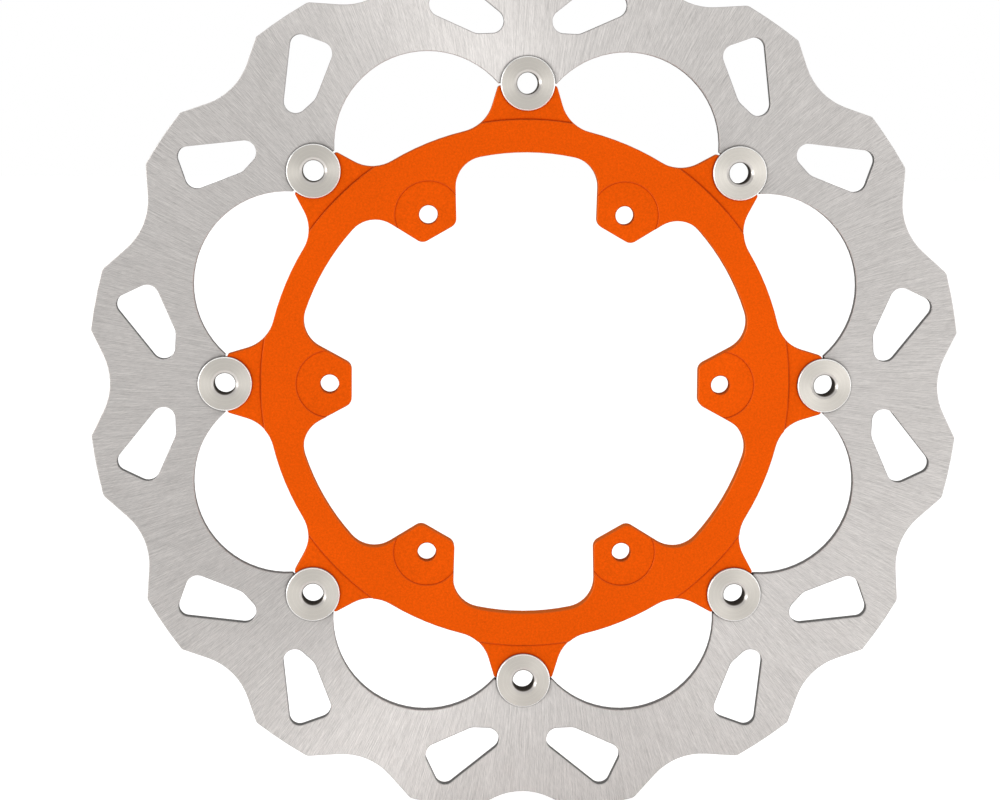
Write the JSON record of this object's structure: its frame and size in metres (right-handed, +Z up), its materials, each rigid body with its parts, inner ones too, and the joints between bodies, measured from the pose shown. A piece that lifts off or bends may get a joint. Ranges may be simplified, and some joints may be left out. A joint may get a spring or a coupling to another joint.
{
  "type": "floating brake disc",
  "caption": "Floating wave brake disc: a windowed steel friction ring hung on a spoked aluminium carrier by sprung turned buttons.",
  "frame": {"origin": "centre of the disc, on the face that seats on the wheel's hub", "axes": "+Y along the disc's axis, from the outer face towards the hub; -Y is the side that faces outwards; +Z up, +X to the right seen from outside"},
  "size_m": [0.3176, 0.0114, 0.3176],
  "materials": {
    "anodised_aluminium": "satin orange anodising over a fine blasted surface",
    "ground_stainless": "ground, with fine swirling lines",
    "turned_steel": "turned, with fine rings",
    "spring_steel": "dark oiled spring steel",
    "zinc_plated_steel": "bright zinc plate"
  },
  "bodies": {
    "carrier": {"carrier": "anodised_aluminium"},
    "friction_ring": {"friction_ring": "ground_stainless"},
    "button_1": {"bobbin_1": "turned_steel", "spring_washer_1": "spring_steel", "flat_washer_1": "zinc_plated_steel", "circlip_1": "spring_steel"},
    "button_2": {"bobbin_2": "turned_steel", "spring_washer_2": "spring_steel", "flat_washer_2": "zinc_plated_steel", "circlip_2": "spring_steel"},
    "button_3": {"bobbin_3": "turned_steel", "spring_washer_3": "spring_steel", "flat_washer_3": "zinc_plated_steel", "circlip_3": "spring_steel"},
    "button_4": {"bobbin_4": "turned_steel", "spring_washer_4": "spring_steel", "flat_washer_4": "zinc_plated_steel", "circlip_4": "spring_steel"},
    "button_5": {"bobbin_5": "turned_steel", "spring_washer_5": "spring_steel", "flat_washer_5": "zinc_plated_steel", "circlip_5": "spring_steel"},
    "button_6": {"bobbin_6": "turned_steel", "spring_washer_6": "spring_steel", "flat_washer_6": "zinc_plated_steel", "circlip_6": "spring_steel"},
    "button_7": {"bobbin_7": "turned_steel", "spring_washer_7": "spring_steel", "flat_washer_7": "zinc_plated_steel", "circlip_7": "spring_steel"},
    "button_8": {"bobbin_8": "turned_steel", "spring_washer_8": "spring_steel", "flat_washer_8": "zinc_plated_steel", "circlip_8": "spring_steel"}
  },
  "joints": [
    {"name": "ring_float", "type": "slide", "parent": "carrier", "child": "friction_ring", "axis": [0, 1, 0], "range_m": [0, 0.0003], "stiffness_N_per_m": 100000, "deforming": ["spring_washer_1", "spring_washer_2", "spring_washer_3", "spring_washer_4", "spring_washer_5", "spring_washer_6", "spring_washer_7", "spring_washer_8"]},
    {"name": "button_spin_1", "type": "hinge", "parent": "carrier", "child": "button_1", "pos_m": [0.11, 0, 0], "axis": [0, 1, 0], "continuous": true},
    {"name": "button_spin_2", "type": "hinge", "parent": "carrier", "child": "button_2", "pos_m": [0.07778, 0, 0.07778], "axis": [0, 1, 0], "continuous": true},
    {"name": "button_spin_3", "type": "hinge", "parent": "carrier", "child": "button_3", "pos_m": [0, 0, 0.11], "axis": [0, 1, 0], "continuous": true},
    {"name": "button_spin_4", "type": "hinge", "parent": "carrier", "child": "button_4", "pos_m": [-0.07778, 0, 0.07778], "axis": [0, 1, 0], "continuous": true},
    {"name": "button_spin_5", "type": "hinge", "parent": "carrier", "child": "button_5", "pos_m": [-0.11, 0, 0], "axis": [0, 1, 0], "continuous": true},
    {"name": "button_spin_6", "type": "hinge", "parent": "carrier", "child": "button_6", "pos_m": [-0.07778, 0, -0.07778], "axis": [0, 1, 0], "continuous": true},
    {"name": "button_spin_7", "type": "hinge", "parent": "carrier", "child": "button_7", "pos_m": [0, 0, -0.11], "axis": [0, 1, 0], "continuous": true},
    {"name": "button_spin_8", "type": "hinge", "parent": "carrier", "child": "button_8", "pos_m": [0.07778, 0, -0.07778], "axis": [0, 1, 0], "continuous": true}
  ]
}
